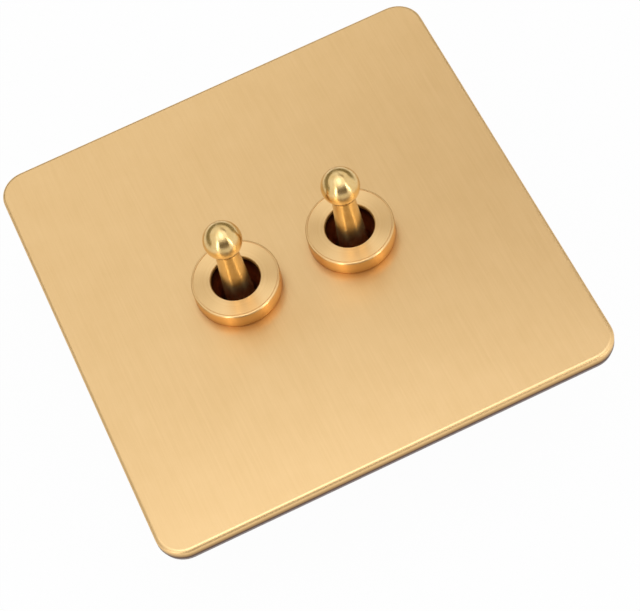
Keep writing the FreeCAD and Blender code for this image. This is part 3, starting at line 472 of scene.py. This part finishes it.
for side in SIDES:
    finish(drawn_steel, f"pivot_pin_{side}", f"plunger_spring_{side}")
    low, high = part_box(f"plunger_spring_{side}")
    middle = (low[0] + high[0]) / 2
    wire = WIRE_MM * MM / 2
    coil = (high[0] - low[0]) / 2 - wire
    length = high[2] - low[2]
    steps = COIL_TURNS * COIL_STEPS
    shape = bmesh.new()
    upright = Matrix.Translation((middle + coil, 0, low[2] + wire)) @ Matrix.Rotation(radians(90), 4, "X")
    bmesh.ops.create_circle(shape, cap_ends=True, segments=WIRE_SIDES, radius=wire, matrix=upright)
    bmesh.ops.spin(shape, geom=[*shape.verts, *shape.edges, *shape.faces], cent=(middle, 0, 0),
                   axis=(0, 0, 1), dvec=(0, 0, (length - 2 * wire) / steps), steps=steps,
                   angle=radians(360 * COIL_TURNS))
    bmesh.ops.recalc_face_normals(shape, faces=shape.faces)
    for face in shape.faces:
        face.smooth = True
    spring = new_object(f"wound_spring_{side}", shape, drawn_steel)
    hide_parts(f"plunger_spring_{side}")
    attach(spring, f"dolly_{side}")
    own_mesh(spring)

# The plungers: nylon, turned from natural rod, that slide in the dollies' bores. Waxy, off-white
# and a little cloudy.
WAX_MM = 1.5
NYLON_TONES = ((0.0, "#E2DECF"), (1.0, "#F1EFE6"))
natural_nylon, tree = new_material("natural_nylon")
place = add(tree, "ShaderNodeTexCoord", {}).outputs["Object"]
wax = add(tree, "ShaderNodeTexNoise", {"Vector": place, "Scale": 1 / (WAX_MM * MM), "Detail": 2.0})
tone = add(tree, "ShaderNodeValToRGB", {"Fac": wax.outputs["Fac"]}, stops=NYLON_TONES)
skin = add(tree, "ShaderNodeBsdfPrincipled", {
    "Base Color": tone.outputs[0], "Roughness": 0.45, "IOR": 1.53})
add(tree, "ShaderNodeOutputMaterial", {"Surface": skin.outputs[0]})
for side in SIDES:
    finish(natural_nylon, f"plunger_{side}")

# The rockers, strap terminals and earth clamp: rolled brass strip, cut and bent, dulled here and
# there by handling.
DULL_MM = 2.5
DULL_ROUGHNESS = (0.24, 0.42)
STRIP_TONES = ((0.30, "#B58A46"), (0.70, "#DDB86E"))
rolled_brass, tree = new_material("rolled_brass_strip")
place = add(tree, "ShaderNodeTexCoord", {}).outputs["Object"]
dull = add(tree, "ShaderNodeTexNoise", {"Vector": place, "Scale": 1 / (DULL_MM * MM), "Detail": 5.0})
tone = add(tree, "ShaderNodeValToRGB", {"Fac": dull.outputs["Fac"]}, stops=STRIP_TONES)
rough = add(tree, "ShaderNodeMapRange", {
    "Value": dull.outputs["Fac"], "To Min": DULL_ROUGHNESS[0], "To Max": DULL_ROUGHNESS[1]})
skin = add(tree, "ShaderNodeBsdfPrincipled", {
    "Base Color": tone.outputs[0], "Metallic": 1.0, "Roughness": rough.outputs[0]})
add(tree, "ShaderNodeOutputMaterial", {"Surface": skin.outputs[0]})
finish(rolled_brass, "earth_screw", "earth_washer")
for side in SIDES:
    finish(rolled_brass, f"contact_rocker_{side}", f"terminal_common_{side}",
           f"terminal_upper_{side}", f"terminal_lower_{side}")

# The contact rivets: silver, headed in a die and set in the rockers and the end terminals. The
# die leaves them satin.
SATIN_MM = 0.5
SILVER_TONES = ((0.0, "#C9C7C2"), (1.0, "#EAE9E5"))
satin_silver, tree = new_material("headed_silver")
place = add(tree, "ShaderNodeTexCoord", {}).outputs["Object"]
satin = add(tree, "ShaderNodeTexNoise", {"Vector": place, "Scale": 1 / (SATIN_MM * MM), "Detail": 3.0})
tone = add(tree, "ShaderNodeValToRGB", {"Fac": satin.outputs["Fac"]}, stops=SILVER_TONES)
skin = add(tree, "ShaderNodeBsdfPrincipled", {
    "Base Color": tone.outputs[0], "Metallic": 1.0, "Roughness": 0.3})
add(tree, "ShaderNodeOutputMaterial", {"Surface": skin.outputs[0]})
for side in SIDES:
    finish(satin_silver, f"moving_contacts_{side}", f"fixed_contacts_{side}")

# The housings: phenolic, compression moulded. Dark brown and glossy, with a faint mottle where
# the powder flowed.
FLOW_MM = 4.0
FLOW_ROUGHNESS = (0.20, 0.38)
PHENOLIC_TONES = ((0.35, "#1F1612"), (0.70, "#40291F"))
moulded_phenolic, tree = new_material("moulded_phenolic")
place = add(tree, "ShaderNodeTexCoord", {}).outputs["Object"]
flow = add(tree, "ShaderNodeTexNoise", {
    "Vector": place, "Scale": 1 / (FLOW_MM * MM), "Detail": 6.0, "Distortion": 1.2})
tone = add(tree, "ShaderNodeValToRGB", {"Fac": flow.outputs["Fac"]}, stops=PHENOLIC_TONES)
rough = add(tree, "ShaderNodeMapRange", {
    "Value": flow.outputs["Fac"], "To Min": FLOW_ROUGHNESS[0], "To Max": FLOW_ROUGHNESS[1]})
skin = add(tree, "ShaderNodeBsdfPrincipled", {
    "Base Color": tone.outputs[0], "Roughness": rough.outputs[0], "IOR": 1.6})
add(tree, "ShaderNodeOutputMaterial", {"Surface": skin.outputs[0]})
for side in SIDES:
    finish(moulded_phenolic, f"switch_housing_{side}")
